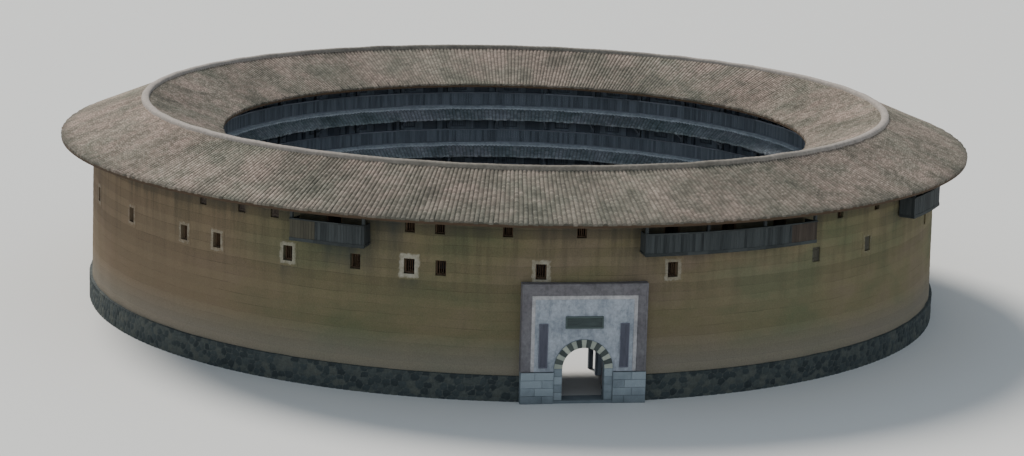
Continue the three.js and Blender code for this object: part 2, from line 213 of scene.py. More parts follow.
# Unglazed clay roof tiles, fired grey-brown and weathered. The mesh's UV map counts rows across
# and runs in metres down the slope, so each tile has its own tone and each course its step.
def clayTile(name="weathered_clay_tile", tones=("#767169", "#89837a", "#9c958c"), course=0.14, eave=None):
    material, add, real = startMaterial(name)
    place = add("SeparateXYZ", [add("UVMap", uv_map="tileMap")])
    row = add("Math", [place], operation="FLOOR")
    shift = add("TexWhiteNoise", [row], noise_dimensions="1D")
    down = add("Math", [place.outputs[1], course], operation="DIVIDE")
    down = add("Math", [down, shift], operation="ADD")
    cell = add("CombineXYZ", [row, add("Math", [down], operation="FLOOR")])
    own = add("TexWhiteNoise", [cell], noise_dimensions="2D")
    clay = add("ValToRGB", [own], ((0.0, tones[0]), (0.55, tones[1]), (1.0, tones[2])))
    # patches of lichen and dust, a few metres across
    patch = add("TexNoise", [real, 0.5, 6.0, 0.72])
    patchTone = add("ValToRGB", [patch], (
        (0.34, "#a0a196"), (0.47, "#d0cdc2"), (0.56, "#ecdfd6"), (0.68, "#fff4ea")))
    clay = add("Mix", [0.85, clay, patchTone], **shade)
    region = add("TexNoise", [real, 0.14, 2.0])
    clay = add("Mix", [1.0, clay, add("MapRange", [region, 0.35, 0.65, 0.92, 1.27])], **shade)
    # greener where moss holds, pinker where the clay is bare, over stretches of several metres
    drift = add("TexNoise", [real, 0.21, 3.0])
    driftTint = add("ValToRGB", [drift], ((0.36, "#eef5f4"), (0.64, "#fffafc")))
    clay = add("Mix", [1.0, clay, driftTint], **shade)
    # painted light: paler and a little warmer where the slopes should look sunlit; the mesh says where
    paintedLight = add("Attribute", attribute_name="tone").outputs["Fac"]
    clay = add("Mix", [1.0, clay, add("MapRange", [paintedLight, 0.0, 1.0, 1.0, 1.55])], **shade)
    clay = add("Mix", [paintedLight, clay, (1.03, 0.99, 0.97, 1.0)], **shade)
    # the lower end of each tile catches the light, and the next one lies in its shadow
    along = add("Math", [down], operation="FRACT")
    lip = add("ValToRGB", [along], ((0.0, "#8a8a8a"), (0.2, "#ffffff"), (1.0, "#ffffff")))
    clay = add("Mix", [0.7, clay, lip], **shade)
    if eave:        # darker towards the eave, which is so many metres down the slope
        damp = add("MapRange", [place.outputs[1], eave - 0.6, eave - 0.05, 0.0, 0.45])
        clay = add("Mix", [damp, clay, "#55534b"], **over)
    # silt and moss in the pans between the covers
    across = add("Math", [place], operation="FRACT")
    valley = add("Math", [across, 0.5], operation="SUBTRACT")
    valley = add("Math", [valley], operation="ABSOLUTE")
    clay = add("Mix", [add("MapRange", [valley, 0.3, 0.5, 0.0, 0.5]), clay, "#45423a"], **over)
    grain = add("TexNoise", [real, 22.0, 4.0])
    clay = add("Mix", [0.7, clay, add("MapRange", [grain, 0.3, 0.7, 0.8, 1.2])], **shade)
    return finishMaterial(material, add, clay, [(along, 0.6, 0.012)], 0.92, 0.2)


# Lime mortar, plaster and wash, gone grey and stained, with mould in the hollows.
def weatheredLime(name, base, stain, dirt, scale=1.0, stretch=0.35, paintedSideHighlight=None):
    material, add, real = startMaterial(name)
    cloud = add("TexNoise", [real, 0.9 * scale, 6.0, 0.65])
    lime = add("ValToRGB", [cloud], ((0.32, stain), (0.6, base)))
    runs = add("VectorMath", [real, (1.0, 1.0, stretch)], operation="MULTIPLY")
    streaks = add("TexNoise", [runs, 3.2 * scale, 6.0, 0.7])
    lime = add("Mix", [add("MapRange", [streaks, 0.5, 0.75, 0.0, 0.65]), lime, dirt], **over)
    if paintedSideHighlight:        # painted highlight: whiter towards the house's two sides
        side = add("Math", [add("SeparateXYZ", [real])], operation="ABSOLUTE")
        lime = add("Mix", [add("MapRange", [side, 7.0, 18.0, 0.0, 0.8]), lime, paintedSideHighlight], **over)
    fine = add("TexNoise", [real, 5.0, 8.0, 0.7])
    lime = add("Mix", [1.0, lime, add("MapRange", [fine, 0.35, 0.65, 0.78, 1.14])], **shade)
    return finishMaterial(material, add, lime, [(fine, 0.45, 0.01)], 0.9, 0.25)


# Dressed granite: speckled grain of 10 to 20 mm, tooled faces, damp and dark towards the ground.
def dressedGranite(name="dressed_granite", low="#6b757b", high="#939da2"):
    material, add, real = startMaterial(name)
    tone = add("Attribute", attribute_name="tone").outputs["Fac"]
    cloud = add("TexNoise", [real, 1.6, 4.0])
    either = add("Math", [tone, 0.6, cloud], operation="MULTIPLY_ADD")
    granite = add("ValToRGB", [either], ((0.35, low), (0.95, high)))
    speck = add("TexNoise", [real, 38.0, 3.0, 0.8])
    granite = add("Mix", [0.8, granite, add("MapRange", [speck, 0.3, 0.7, 0.72, 1.25])], **shade)
    high = add("SeparateXYZ", [real]).outputs[2]
    granite = add("Mix", [add("MapRange", [high, 0.9, 0.0, 0.0, 0.55]), granite, "#4b5355"], **over)
    return finishMaterial(material, add, granite, [(speck, 0.4, 0.005)], 0.8, 0.35)


# Old fir, bare or painted: grain runs along one axis, each board has its own tone.
def oldTimber(name, dark, light, along=(1.0, 1.0, 0.08), roughness=0.82, wear=None):
    material, add, real = startMaterial(name)
    tone = add("Attribute", attribute_name="tone").outputs["Fac"]
    offset = add("VectorMath", [tone, (7.0, 7.0, 7.0)], operation="MULTIPLY")
    own = add("VectorMath", [real, offset], operation="ADD")
    stretched = add("VectorMath", [own, along], operation="MULTIPLY")
    grain = add("TexNoise", {"Vector": stretched, "Scale": 11.0, "Detail": 6.0, "Roughness": 0.65,
                             "Distortion": 0.4})
    either = add("Math", [tone, 0.45, grain], operation="MULTIPLY_ADD")
    wood = add("ValToRGB", [either], ((0.3, dark), (0.95, light)))
    if wear:        # where the paint has gone
        patch = add("TexNoise", [own, 2.3, 7.0, 0.7])
        wood = add("Mix", [add("MapRange", [patch, 0.56, 0.64, 0.0, 0.7]), wood, wear], **over)
    return finishMaterial(material, add, wood, [(grain, 0.45, 0.004)], roughness, 0.25)


# Forged iron, black with rust in the low spots.
def forgedIron():
    material, add, real = startMaterial("forged_iron")
    spots = add("TexNoise", [real, 30.0, 5.0])
    colour = add("ValToRGB", [spots], ((0.45, "#2c2a2a"), (0.65, "#5a3d2c")))
    return finishMaterial(material, add, colour, [(spots, 0.4, 0.003)], 0.55, 0.5, 0.8)


earth = rammedEarth()
boulders = riverStone()
tile = clayTile(eave=5.2)
# painted shade: the clay tile again in bluish greys, as it looks in the courtyard's shade
pentTile = clayTile("shaded_clay_tile", ("#707b85", "#7c8792", "#8c97a1"), 0.12)
# the ridge lime's last colour is a painted highlight towards the house's sides
ridgeLime = weatheredLime("weathered_ridge_lime", "#857e73", "#6f695f", "#565047", 1.6, 1.0, "#aaa097")
limePlaster = weatheredLime("stained_lime_plaster", "#afb4bb", "#9299a1", "#666d74")
borderPlaster = weatheredLime("tinted_lime_border", "#7a7779", "#6b676a", "#565453")
whiteLime = weatheredLime("whitewashed_fillet", "#c2bebd", "#a4a2a3", "#767878")
filletLime = weatheredLime("sooty_lime_fillet", "#9ca4aa", "#858d94", "#646b71", 1.5, 1.0)
windowLime = rammedEarth("limewashed_earth", True)
granite = dressedGranite()
paleGranite = dressedGranite("pale_arch_stone", "#8d9389", "#b4b7a6")
darkGranite = dressedGranite("dark_arch_stone", "#3d4340", "#575d58")
upright = oldTimber("old_fir_upright", "#2c231b", "#5f4c3a")
level = oldTimber("old_fir_level", "#2a221b", "#5a4938", (0.25, 0.25, 2.5))
weathered = oldTimber("weathered_grey_boards", "#242728", "#464a4a")
# painted shade: weathered grey fir given a blue cast, as it looks in the courtyard's shade
gallery = oldTimber("shade_painted_gallery_boards", "#383e45", "#5e666f")
# painted light: paler and bluer than old fir, lifting the rooms' deep shade behind the galleries
roomBoards = oldTimber("room_boards_painted_pale", "#808a96", "#b8c3d0")
roomFrames = oldTimber("door_boards_painted_pale", "#58616c", "#8a93a0")
bleachedBoards = oldTimber("sun_bleached_planks", "#3c3931", "#535044")
newBoards = oldTimber("new_brown_boards", "#352e29", "#4f463e")
# painted shade: the gallery's beams given the same blue cast of shade
galleryLevel = oldTimber("shade_painted_gallery_beams", "#3b4048", "#707680", (0.25, 0.25, 2.5))
weatheredLevel = oldTimber("weathered_grey_rails", "#262929", "#484c4b", (0.25, 0.25, 2.5))
slate = oldTimber("dark_lacquered_board", "#474852", "#6a6b77", (1.0, 1.0, 0.1), 0.6)
tabletBoard = oldTimber("dark_green_lacquered_board", "#373e3d", "#57625f", (0.1, 1.0, 1.0), 0.6)
gatePaint = oldTimber("worn_red_brown_paint", "#43201c", "#6b3530", (1.0, 1.0, 0.08), 0.6, "#3a2b22")
forged = forgedIron()
print("materials made:", len(bpy.data.materials))


# Shapes: each is a dictionary of points (n, 3), quads (m, 4) and what rides on them

def around(theta, radius, height):        # the point at an angle round the house, a radius and a height
    t = np.radians(theta)
    return np.stack(np.broadcast_arrays(radius * np.sin(t), -radius * np.cos(t), height), axis=-1)


# The faces of a grid of points, as four corners each; a closed side joins its last line to its first.
def gridCorners(rows, columns, closeRows=False, closeColumns=False):
    i, j = np.meshgrid(np.arange(rows if closeRows else rows - 1),
                       np.arange(columns if closeColumns else columns - 1), indexing="ij")
    return [np.stack(side, -1).reshape(-1, 4) for side in ([i, i + 1, i + 1, i], [j, j, j + 1, j + 1])]


# A grid of points (rows, columns, 3) as a skin closed across its columns. Its rows are closed too, or
# capped at both ends; turned, its faces look the other way.
def skin(points, closed=True, turned=False):
    rows, columns = points.shape[:2]
    ci, cj = gridCorners(rows, columns, closed, True)
    way = -1 if turned else 1
    shape = {"points": points.reshape(-1, 3), "quads": ((ci % rows) * columns + cj % columns)[:, ::way]}
    if not closed:
        first = np.arange(columns)
        shape["ends"] = [first[::way].tolist(), (first[::-way] + (rows - 1) * columns).tolist()]
    return shape


# A closed section carried round the house: radius and height are (angles, section points),
# and the section runs anticlockwise with the radius to the right.
def sweep(theta, radius, height, closed=True):
    theta = np.asarray(theta, float)
    return skin(around(theta[:, None] if theta.ndim == 1 else theta, radius, height), closed)


# A shell between two grids of points, outer and inner, each (angles, heights, 3), with cells left out
# where holes is true. Every open edge gets a side face, so the shell is closed.
def shell(outer, inner, holes):
    rows, columns = outer.shape[:2]
    keep = ~holes
    ci, cj = gridCorners(rows, columns)
    front = (ci * columns + cj)[keep.ravel()]
    count = rows * columns
    faces = [front, front[:, ::-1] + count]
    padded = np.pad(keep, 1)
    index = np.arange(count).reshape(rows, columns)
    a, b, c, d = index[:-1, :-1], index[1:, :-1], index[1:, 1:], index[:-1, 1:]
    for absent, start, end in (
            (~padded[:-2, 1:-1], d, a), (~padded[2:, 1:-1], b, c),
            (~padded[1:-1, :-2], a, b), (~padded[1:-1, 2:], c, d)):
        edge = keep & absent
        s, e = start[edge], end[edge]
        faces.append(np.stack([e, s, s + count, e + count], -1))
    return {"points": np.concatenate([outer.reshape(-1, 3), inner.reshape(-1, 3)]),
            "quads": np.concatenate(faces)}


boxFaces = np.array([[0, 4, 6, 2], [1, 3, 7, 5], [0, 1, 5, 4], [2, 6, 7, 3], [0, 2, 3, 1], [4, 5, 7, 6]])
boxSides = np.array([[i & 1, i >> 1 & 1, i >> 2] for i in range(8)]) - 0.5


# Many solids of eight corners each, as one shape: corners is (n, 8, 3), and each has a random tone.
def solids(corners, toneRange=(0.0, 1.0)):
    count = len(corners)
    return {"points": corners.reshape(-1, 3),
            "quads": (boxFaces[None] + 8 * np.arange(count)[:, None, None]).reshape(-1, 4),
            "tone": np.repeat(dice.uniform(*toneRange, count), 8)}


# Boxes set round the house. Each stands at an angle, a radius and a height, is moved sideways by shift,
# and leans back by tilt degrees, so that a rafter follows its slope.
def blocks(theta, radius, height, depth, width, tall, shift=0.0, tilt=0.0, toneRange=(0.0, 1.0)):
    values = np.broadcast_arrays(*[np.atleast_1d(np.asarray(v, float)) for v in (
        theta, radius, height, depth, width, tall, shift, tilt)])
    t, r, h, dp, wd, tl, sh, lean = [v.ravel()[:, None] for v in values]
    t, lean = np.radians(t), np.radians(lean)
    out, side, up = (boxSides[None, :, k] * s for k, s in enumerate((dp, wd, tl)))
    side = side + sh
    outward = r + out * np.cos(lean) + up * np.sin(lean)
    upward = h + up * np.cos(lean) - out * np.sin(lean)
    return solids(np.stack([outward * np.sin(t) + side * np.cos(t), -outward * np.cos(t) + side * np.sin(t),
                            upward], -1), toneRange)


# Boxes between low and high corners, both (n, 3).
def cuboids(low, high, toneRange=(0.0, 1.0)):
    low, high = np.asarray(low, float)[:, None], np.asarray(high, float)[:, None]
    return solids((low + high) / 2 + boxSides[None] * (high - low), toneRange)


def joined(*shapes):        # several shapes as one
    offset, points, quads, tones, ends = 0, [], [], [], []
    for shape in shapes:
        points.append(shape["points"])
        quads.append(shape["quads"] + offset)
        tones.append(shape.get("tone", np.full(len(shape["points"]), 0.5)))
        ends += [[v + offset for v in end] for end in shape.get("ends", ())]
        offset += len(shape["points"])
    return {"points": np.concatenate(points), "quads": np.concatenate(quads), "tone": np.concatenate(tones),
            "ends": ends}


# Makes a shape an object on a body. smooth is the angle in degrees under which edges are smoothed.
def build(name, shape, material, replaces=(), body="house", smooth=None, bevel=0.0):
    mesh = bpy.data.meshes.new(name)
    mesh.from_pydata((shape["points"] * modelScale).tolist(), [],
                     shape["quads"].tolist() + list(shape.get("ends", ())))
    mesh.update(calc_edges=True)
    for key in ("tone", "joint", "stain"):
        if key in shape:
            values = mesh.attributes.new(key, "FLOAT", "POINT").data
            values.foreach_set("value", shape[key].astype(np.float32))
    if "uv" in shape:
        mesh.uv_layers.new(name="tileMap").data.foreach_set("uv", shape["uv"].astype(np.float32).ravel())
    if smooth is not None:
        mesh.polygons.foreach_set("use_smooth", np.ones(len(mesh.polygons), bool))
        mesh.set_sharp_from_angle(angle=math.radians(smooth))
    mesh.materials.append(material)
    piece = bpy.data.objects.new(name, mesh)
    bpy.context.scene.collection.objects.link(piece)
    if bevel:
        edge = piece.modifiers.new("edges", "BEVEL")
        edge.width = bevel * modelScale
        edge.segments = 1
        edge.limit_method = "ANGLE"
    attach(piece, body)
    if replaces:
        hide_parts(*replaces)


# Slow unevenness: cosines of random direction and phase added up, whole turns round the house.
def unevenness(theta, height, turns, seed, count=9):
    local = np.random.default_rng(seed)
    total = 0
    for _ in range(count):
        wave = local.integers(turns // 3, turns + 1)
        total = total + np.cos(np.radians(theta) * wave + height * local.uniform(-1.6, 1.6)
                               + local.uniform(0, 2 * math.pi))
    return total / math.sqrt(count)


def roofTop(radius):        # the slopes' height falls evenly away from the ridge
    return house["ridgeHeight"] - house["pitch"] * np.abs(radius - house["ridgeRadius"])


def straightBays(theta):        # how far in a 36-sided ring's face lies, as a share of its corners' radius
    within = (np.asarray(theta, float) + halfBay) % (2 * halfBay) - halfBay
    return math.cos(math.radians(halfBay)) / np.cos(np.radians(within))


# Roofs

slope = {"pointsPerRow": 6, "steps": 9, "top": 11.68, "pitch": house["pitch"], "arch": 0.065,
         "thickness": 0.1}
# paintedLightLeft and paintedLightRight: how much painted light each side of a slope gets
outerSlope = {**slope, "rows": 672, "head": 22.05, "eave": 26.88, "paintedLightLeft": 1.35, "paintedLightRight": 0.57}
innerSlope = {**slope, "rows": 552, "head": 21.95, "eave": 17.42, "paintedLightLeft": 0.25, "paintedLightRight": 0.9}
# how far tiles are sunk into the slab, end unevenly, waver and sway; sway is a share of a row's width
laying = {"sunk": 0.035, "ragged": 0.03, "waver": 0.012, "rowWaver": 0.006, "sway": 0.14, "paintedLightPower": 2.4}


# Rows of convex covers over concave pans, running down the slope from its head to its eave.
# Height across a row is the slope plus a half-sine arch to the power 0.8; each row ends and sways on its own.
def tileSlope(name, look, material, replaces):
    rows, perRow, head = look["rows"], look["pointsPerRow"], look["head"]
    outward = 1 if look["eave"] > head else -1
    k = np.arange(rows * perRow)
    row = k // perRow
    theta = 360 * k / len(k)
    arch = look["arch"] * np.sin(np.pi * (k % perRow) / perRow) ** 0.8
    far, near = max(head, look["eave"]), min(head, look["eave"])
    radius = far + (near - far) * np.linspace(0, 1, look["steps"]) + 0 * theta[:, None]
    run = np.abs(radius - head)
    uneven = dice.uniform(-1, 1, rows)[row][:, None]
    radius[:, 0 if outward > 0 else -1] += laying["ragged"] * uneven[:, 0] * outward
    top = look["top"] - look["pitch"] * run - laying["sunk"] + arch[:, None]
    top = top + laying["waver"] * unevenness(theta[:, None], radius, rows // 6, rows) \
        + laying["rowWaver"] * uneven * np.sin(run * 2.3 + 9 * uneven)
    sway = laying["sway"] * 360 / rows * dice.uniform(-1, 1, rows)[row][:, None]
    sway = sway * np.sin(run * 1.1 + 6 * uneven)
    ends = [-1, 0]        # the section comes back along the underside
    under = look["top"] - look["pitch"] * np.abs(radius[:, ends] - head) - look["thickness"]
    angle = theta[:, None] + np.concatenate([sway, sway[:, ends]], 1)
    radius = np.concatenate([radius, radius[:, ends]], 1)
    if look.get("straight"):
        radius = radius * straightBays(theta)[:, None]
    down = np.concatenate([run[0], run[0][ends]]) * math.hypot(1, look["pitch"])
    shape = sweep(angle, radius, np.concatenate([top, under], 1))
    ci, cj = gridCorners(*angle.shape, True, True)        # the UV map: rows across, metres down
    shape["uv"] = np.stack([ci / perRow, down[cj % len(down)]], -1)
    # painted light: the paler share grows with the sine of the angle, by its own amount each side
    sine = np.sin(np.radians(theta))
    paintedLight = np.where(sine > 0, look["paintedLightRight"], look["paintedLightLeft"]) * np.abs(sine) ** laying["paintedLightPower"]
    shape["tone"] = np.repeat(paintedLight, radius.shape[1])
    build(name, shape, material, replaces, smooth=50)


for side, look, quarters in (("outer", outerSlope, ("front_left", "front_right", "back_left", "back_right")),
                             ("inner", innerSlope, ("left", "right"))):
    tileSlope(f"roof_tiles_{side}", look, tile, [f"roof_{side}_{part}" for part in quarters])


# Under the tiles: flat rafters down each slope, purlin rings, and boards that close the eaves. Each
# lies at the slope's height less the layers over it.
roofFrame = {"rafters": 324, "rafterWidth": 0.12, "rafterDepth": 0.09, "deck": 0.025, "purlin": 0.11,
             "purlins": (22.3, 23.6, 26.3, 21.6, 20.3, 17.9), "eaveBoard": 0.14, "eaveBoardThick": 0.04}


def ringBand(low, high, inner, outer, count, tilt=0.0):        # a ring of rectangular section, raised by tilt
    radius = np.array([[outer, inner, inner, outer]])
    height = np.array([[high, high, low, low]]) + tilt * (radius - outer)
    return sweep(np.arange(count) * 360 / count, radius, height)


def roofUnderside(look):
    pitch, deck, deep = house["pitch"], look["deck"], look["rafterDepth"]
    turn = np.arange(look["rafters"]) * 360 / look["rafters"]
    half, thin = look["purlin"] / 2, look["eaveBoardThick"] / 2
    parts = []
    for inner, outer, sign in ((22.05, 26.8, 1), (17.5, 21.95, -1)):
        middle = (inner + outer) / 2
        top = roofTop(outer) - house["underTiles"]
        parts.append(blocks(turn, middle, roofTop(middle) - house["underTiles"] - deck - deep / 2 - 0.01,
                            (outer - inner) * math.hypot(1, pitch), look["rafterWidth"], deep,
                            tilt=sign * math.degrees(math.atan(pitch))))
        parts.append(ringBand(top - deck, top, inner, outer, 180, -pitch * sign))
    for radius in look["purlins"]:
        top = roofTop(radius) - house["underTiles"] - deck - deep
        parts.append(ringBand(top - 2 * half, top, radius - half, radius + half, 144))
    for radius in (house["outerEave"] - 2 * thin, house["innerEave"] + 2 * thin):
        top = roofTop(radius) - 0.09
        parts.append(ringBand(top - look["eaveBoard"], top, radius - thin, radius + thin, 180))
    build("roof_rafters", joined(*parts), level)


roofUnderside(roofFrame)


# The ridge: tiles on edge bedded in lime, a low rounded bank with a bump for each tile.
ridge = {"columns": 1080, "half": 0.24, "height": 0.25, "tiles": 360, "bump": 0.012, "waver": 0.012}


# Across the bank: cosine by sine to the power 0.55. Along it: the sine's absolute value, a bump a tile.
def ridgeBank(look):
    theta = np.arange(look["columns"]) * 360 / look["columns"]
    turn = np.linspace(0, np.pi, 9)
    bump = look["bump"] * np.abs(np.sin(np.radians(theta) * look["tiles"] / 2))[:, None] \
        + look["waver"] * unevenness(theta[:, None], 0, 60, 5)
    radius = house["ridgeRadius"] + np.cos(turn) * look["half"] + 0 * bump
    height = roofTop(radius[0, :1]) - 0.02 + np.sin(turn) ** 0.55 * (look["height"] + bump)
    middle = 0 * bump + house["ridgeRadius"]
    shape = sweep(theta, np.concatenate([radius, middle], 1),
                  np.concatenate([height, 0 * bump + house["ridgeHeight"] - 0.05], 1))
    build("ridge_bank", shape, ridgeLime, ("ridge_cap",), smooth=50)


ridgeBank(ridge)
print("roofs built")


# Earth wall

# "inset" is how far the face lies behind the plain wall's, and "grooveShare" a groove's part of its lift
wallLook = {"angleStep": 0.75, "heightStep": 0.16, "swell": 0.014, "inset": 0.012, "groove": 0.006,
            "grooveShare": 0.3, "lift": 0.48}
wallTop = roofTop(house["wallHead"]) - house["roofThickness"]
# damp stain and painted lookout shadow: angle, half width in degrees, top, length down the wall, strength
stainsAndLookoutShadows = ((-29, 3.3, 8.2, 2.2, 1.2), (-23.5, 1.9, 9.3, 2.8, 0.6), (-33, 2.6, 7.9, 0.9, 0.4),
          (-36.5, 1.2, 6.4, 1.4, 0.35), (-20.8, 1.3, 6.4, 1.1, 0.5), (16, 10, 7.8, 0.7, 0.45),
          (52, 6, 8.0, 1.0, 0.4), (98, 1.2, 6.4, 1.2, 0.4), (126, 1.4, 6.4, 1.6, 0.45),
          (161, 11, 7.8, 0.8, 0.5), (222, 1.3, 6.4, 1.4, 0.4), (250, 3.0, 9.5, 2.2, 0.4))


def wallHoles():        # every hole in the wall as angle from, to, height from, to
    rows = [(windowAngles[row], *windowRows[row]) for row in windowAngles]
    rows.append((doorways, topFloor + lookoutDoor[1] / 2, *lookoutDoor))
    holes = []
    for angles, middle, width, height in rows:
        half = math.degrees(width / 2 / house["windowRadius"])
        holes += [(a - half, a + half, middle - height / 2, middle + height / 2) for a in angles]
    return holes


def linesWith(base, fixed, closest):        # grid lines with the fixed ones kept exactly
    fixed = np.unique(np.round(fixed, 5))
    far = np.abs(base[:, None] - fixed[None, :]).min(1) > closest
    return np.sort(np.concatenate([base[far], fixed]))


# The outer face's radius: it falls evenly with height, and swells slowly.
def wallFace(theta, height):
    share = (height - house["plinthTop"]) / (wallTop - house["plinthTop"])
    face = house["wallFoot"] + (house["wallHead"] - house["wallFoot"]) * share
    return face + wallLook["swell"] * unevenness(theta, height, 90, 3) - wallLook["inset"]


def stainAndShadowAt(theta, height):        # each stain and painted shadow: a flat-topped bell across, fading out down its length
    damp = 0 * theta
    for angle, half, top, length, strength in stainsAndLookoutShadows:
        away = ((theta - angle + 180) % 360 - 180) / half
        fade = np.clip(1 - (top - height) / length, 0, 1) * (height < top + 0.3)
        damp = np.maximum(damp, strength * np.exp(-away ** 4) * fade)
    return damp


# The wall between two angles, as a shell whose grid lines run along every hole's edges. The outer face
# has a shallow groove at each lift; the inner one steps back at each floor.
def wallPiece(name, start, end, foot, replaces, look, innerStart=None, innerEnd=None):
    own = [(h[0] + t, h[1] + t, h[2], h[3]) for h in wallHoles() for t in (0, -360)
           if start - 1 < h[0] + t and h[1] + t < end + 1]
    count = max(int((end - start) / look["angleStep"]), 4) + 1
    theta = linesWith(np.linspace(start, end, count), [start, end] + [v for h in own for v in h[:2]], 0.2)
    steps = [t - house["floorThickness"] for t in house["floorTops"] if t - house["floorThickness"] > foot]
    fixed = [foot, wallTop] + [v for h in own for v in h[2:]] + [v + d for v in steps for d in (0, 0.01)]
    height = linesWith(np.arange(foot, wallTop, look["heightStep"]), fixed, 0.05)
    t, z = np.meshgrid(theta, height, indexing="ij")
    face = wallFace(t, z) - look["groove"] * ((z / look["lift"]) % 1 < look["grooveShare"])
    storey = sum((z > s + 0.005).astype(float) for s in steps) + (3 - len(steps))
    back = house["wallBack"] + house["ledge"] * storey
    zi, ti = z.copy(), t.copy()
    zi[:, -1:] = roofTop(back[:, -1:]) - house["roofThickness"]
    for line, angle in ((0, innerStart), (-1, innerEnd)):
        if angle is not None:
            ti[line] = angle
    ct, cz = (theta[1:] + theta[:-1]) / 2, (height[1:] + height[:-1]) / 2
    holes = np.zeros((len(ct), len(cz)), bool)
    for a0, a1, z0, z1 in own:
        holes |= ((ct > a0) & (ct < a1))[:, None] & ((cz > z0) & (cz < z1))[None, :]
    shape = shell(around(t, face, z), around(ti, back, zi), holes)
    # the stain attribute carries damp staining and the painted shadow below the lookouts
    shape["stain"] = np.concatenate([stainAndShadowAt(t, z).ravel(), np.zeros(t.size)])
    build(name, shape, earth, (replaces,), smooth=40)


gateOut, gateIn = (math.degrees(math.asin(house["passageHalf"] / r)) for r in (25.1, 23.9))
for part, start, end, inner in (("front_right", gateOut, 90, (gateIn, None)), ("back_right", 90, 180, ()),
                                ("back_left", 180, 270, ()), ("front_left", -90, -gateOut, (None, -gateIn))):
    wallPiece("earth_face_" + part, start, end, house["plinthTop"], "earth_wall_" + part, wallLook, *inner)
wallPiece("earth_face_over_gate", -gateOut, gateOut, house["passageTop"], "wall_over_gate", wallLook,
          -gateIn, gateIn)


# Stone plinth

plinthLook = {"stone": (0.44, 0.33), "bulge": 0.06, "columnStep": 0.066, "rows": 22}


# Stones as the cells of scattered seeds on the unrolled face. A point's gap is how much nearer its
# first seed is than its second: none in a joint, and most in the middle of a stone.
def stoneField(along, up, size, length):
    across, rows = int(round(length / size[0])), 8
    seedA = dice.uniform(0.12, 0.88, (across, rows))
    seedU = dice.uniform(0.15, 0.85, (across, rows))
    tones = dice.uniform(0, 1, (across, rows))
    a, u = along / (length / across), up / size[1] + 1.5
    ia, iu = np.floor(a).astype(int), np.floor(u).astype(int)
    first, second, tone = np.full(a.shape, 9.0), np.full(a.shape, 9.0), np.zeros(a.shape)
    for da in (-1, 0, 1):
        for du in (-1, 0, 1):
            ca, cu = (ia + da) % across, np.clip(iu + du, 0, rows - 1)
            distance = np.hypot(ia + da + seedA[ca, cu] + 0.5 * (cu % 2) - 0.25 - a,
                                (iu + du + seedU[ca, cu] - u) * 0.85)
            nearer = distance < first
            second = np.where(nearer, first, np.minimum(second, distance))
            tone = np.where(nearer, tones[ca, cu], tone)
            first = np.where(nearer, distance, first)
    return second - first, tone


# The face stands out from its joints to its stones as one less an exponential of the gap, a quarter of
# the bulge outside the plinth's radius at most.
def plinthHalf(side, start, end, look):
    length = 2 * math.pi * house["plinthRadius"]
    theta = np.linspace(start, end, int((end - start) / 360 * length / look["columnStep"]))
    t, z = np.meshgrid(theta, np.linspace(0, house["plinthTop"], look["rows"]), indexing="ij")
    gap, tone = stoneField(t / 360 * length, z, look["stone"], length)
    face = house["plinthRadius"] + look["bulge"] * (0.25 - np.exp(-4 * gap))
    column = np.ones((len(theta), 1))        # three more points close the section behind the stones
    foot, back, top = house["wallFoot"] - 0.05, house["wallBack"], house["plinthTop"]
    radius = np.concatenate([face, column * [foot, back, back]], 1)
    height = np.concatenate([z, column * [top + 0.015, top, 0]], 1)
    shape = sweep(theta, radius, height, closed=False)
    shape["tone"] = np.pad(tone, ((0, 0), (0, 3)), constant_values=0.4).ravel()
    shape["joint"] = np.pad(gap, ((0, 0), (0, 3)), constant_values=0.02).ravel()
    build("boulder_plinth_" + side, shape, boulders, ("stone_plinth_" + side,), smooth=60)


plinthHalf("right", gateOut, 180, plinthLook)
plinthHalf("left", 180, 360 - gateOut, plinthLook)
print("walls built")


# Windows

windowLook = {"set": 0.28, "frame": 0.07, "bar": 0.035, "bars": 3, "limeWidth": 0.29, "proud": 0.009}
# how white each window's limewash still is, from 0 to 1, by its angle
limed = {-66: 0.2, -53.5: 0.28, -47.5: 0.34, -36.5: 0.5, -20.8: 0.78, -5.2: 0.55, 10.8: 0.42, 42: 0.06,
         98: 0.3, 126: 0.5, 154: 0.2, 194: 0.6, 222: 0.3, 250: 0.4, 280: 0.3}


def windowTimber(look):
    parts, f = [], look["frame"]
    for row, angles in windowAngles.items():
        middle, width, height = windowRows[row]
        boxes = []
        for side in (-1, 1):
            boxes += [(middle, 0.1, f, height - 0.005, side * (width / 2 - f / 2 - 0.004)),
                      (middle + side * (height / 2 - f / 2 - 0.004), 0.1, width - 2 * f, f)]
        boxes += [(middle, 0.035, look["bar"], height - 2 * f, share * (width - 2 * f))
                  for share in np.linspace(-0.5, 0.5, look["bars"] + 2)[1:-1]]
        parts += [blocks(angles, house["windowRadius"] - look["set"], *box) for box in boxes]
    build("window_frames_and_bars", joined(*parts), upright)


